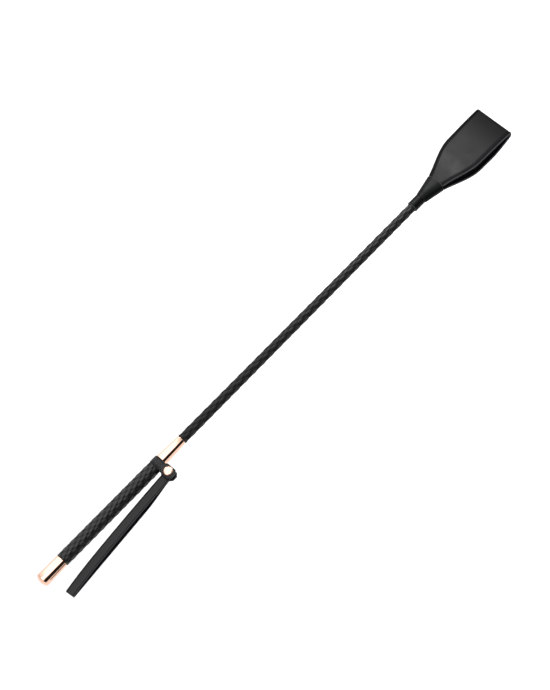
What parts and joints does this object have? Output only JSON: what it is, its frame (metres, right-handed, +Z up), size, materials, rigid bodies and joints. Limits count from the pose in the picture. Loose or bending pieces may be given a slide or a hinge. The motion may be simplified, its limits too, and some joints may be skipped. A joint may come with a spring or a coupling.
{
  "type": "riding crop",
  "caption": "Riding crop with a braided handle, tapered ferrule, flexible braided shaft and a folded leather popper; a wrist strap is held by a press stud.",
  "frame": {"origin": "on the surface the crop lies on, under the middle of its box", "axes": "+X along the shaft from the butt to the tip of the popper; +Z up, out of the popper's face"},
  "size_m": [0.65, 0.0564, 0.0148],
  "materials": {
    "rose_gold": "polished rose-gold plate",
    "snap_brass": "plain stamped brass",
    "grip_braid": "black braided leather, satin",
    "shaft_braid": "black braided leather, satin",
    "strap_leather": "black smooth leather, satin",
    "sleeve_leather": "black smooth leather, satin",
    "popper_leather": "black smooth leather, soft satin",
    "glass_fibre": "pultruded glass fibre",
    "core_plastic": "moulded",
    "thread": "waxed thread"
  },
  "bodies": {
    "handle": {"butt_cap": "rose_gold", "handle_core": "core_plastic", "grip_cover": "grip_braid", "grip_binding_butt": "thread", "grip_binding_ferrule": "thread", "ferrule": "rose_gold", "keeper_band": "strap_leather", "snap_stud": "snap_brass", "snap_post": "snap_brass", "shaft_binding_ferrule": "thread", "rod_1": "glass_fibre", "cover_1": "shaft_braid"},
    "snap_leaf": {"keeper_leaf": "strap_leather", "snap_cap": "rose_gold", "snap_socket": "snap_brass"},
    "strap_root": {"strap_end_top": "strap_leather", "strap_end_bottom": "strap_leather"},
    "strap_loop": {"wrist_loop": "strap_leather"},
    "shaft_2": {"rod_2": "glass_fibre", "cover_2": "shaft_braid"},
    "shaft_3": {"rod_3": "glass_fibre", "cover_3": "shaft_braid"},
    "shaft_4": {"rod_4": "glass_fibre", "cover_4": "shaft_braid"},
    "shaft_5": {"rod_5": "glass_fibre", "cover_5": "shaft_braid"},
    "shaft_6": {"rod_6": "glass_fibre", "cover_6": "shaft_braid"},
    "neck": {"rod_7": "glass_fibre", "cover_7": "shaft_braid", "shaft_binding_tip": "thread", "sleeve": "sleeve_leather", "popper_tail_top": "popper_leather", "popper_tail_bottom": "popper_leather", "popper_binding": "thread"},
    "popper": {"popper": "popper_leather"}
  },
  "joints": [
    {"name": "up_bend_1", "type": "hinge", "parent": "handle", "child": "shaft_2", "pos_m": [-0.06297, 0.0054, 0.0074], "axis": [0, -1, 0], "range_deg": [-3.4, 3.4], "stiffness_Nm_per_rad": 4},
    {"name": "side_bend_1", "type": "hinge", "parent": "shaft_2", "child": "shaft_3", "pos_m": [-0.01297, 0.0054, 0.0074], "axis": [0, 0, 1], "range_deg": [-4.2, 4.2], "stiffness_Nm_per_rad": 4},
    {"name": "up_bend_2", "type": "hinge", "parent": "shaft_3", "child": "shaft_4", "pos_m": [0.03703, 0.0054, 0.0074], "axis": [0, -1, 0], "range_deg": [-4.08, 4.08], "stiffness_Nm_per_rad": 4},
    {"name": "side_bend_2", "type": "hinge", "parent": "shaft_4", "child": "shaft_5", "pos_m": [0.08703, 0.0054, 0.0074], "axis": [0, 0, 1], "range_deg": [-5.04, 5.04], "stiffness_Nm_per_rad": 4},
    {"name": "up_bend_3", "type": "hinge", "parent": "shaft_5", "child": "shaft_6", "pos_m": [0.13703, 0.0054, 0.0074], "axis": [0, -1, 0], "range_deg": [-4.76, 4.76], "stiffness_Nm_per_rad": 4},
    {"name": "side_bend_3", "type": "hinge", "parent": "shaft_6", "child": "neck", "pos_m": [0.18703, 0.0054, 0.0074], "axis": [0, 0, 1], "range_deg": [-5.88, 5.88], "stiffness_Nm_per_rad": 4},
    {"name": "popper_flap", "type": "hinge", "parent": "neck", "child": "popper", "pos_m": [0.23733, 0.0054, 0.0074], "axis": [0, -1, 0], "range_deg": [-28, 28], "stiffness_Nm_per_rad": 0.15},
    {"name": "snap_open", "type": "hinge", "parent": "handle", "child": "snap_leaf", "pos_m": [-0.16297, -0.00383, 0.0115], "axis": [-1, 0, 0], "range_deg": [0, 85]},
    {"name": "strap_turn", "type": "hinge", "parent": "handle", "child": "strap_root", "pos_m": [-0.16297, -0.00993, 0.00615], "axis": [0, 0, 1], "range_deg": [-5, 80]},
    {"name": "strap_lift", "type": "hinge", "parent": "strap_root", "child": "strap_loop", "pos_m": [-0.17234, -0.01075, 0.00615], "axis": [-0.0872, 0.9962, 0], "range_deg": [-60, 80]}
  ],
  "couplings": [
    {"joint": "up_bend_2", "follows": "up_bend_1", "ratio": 1.2},
    {"joint": "side_bend_2", "follows": "side_bend_1", "ratio": 1.2},
    {"joint": "up_bend_3", "follows": "up_bend_1", "ratio": 1.4},
    {"joint": "side_bend_3", "follows": "side_bend_1", "ratio": 1.4}
  ]
}
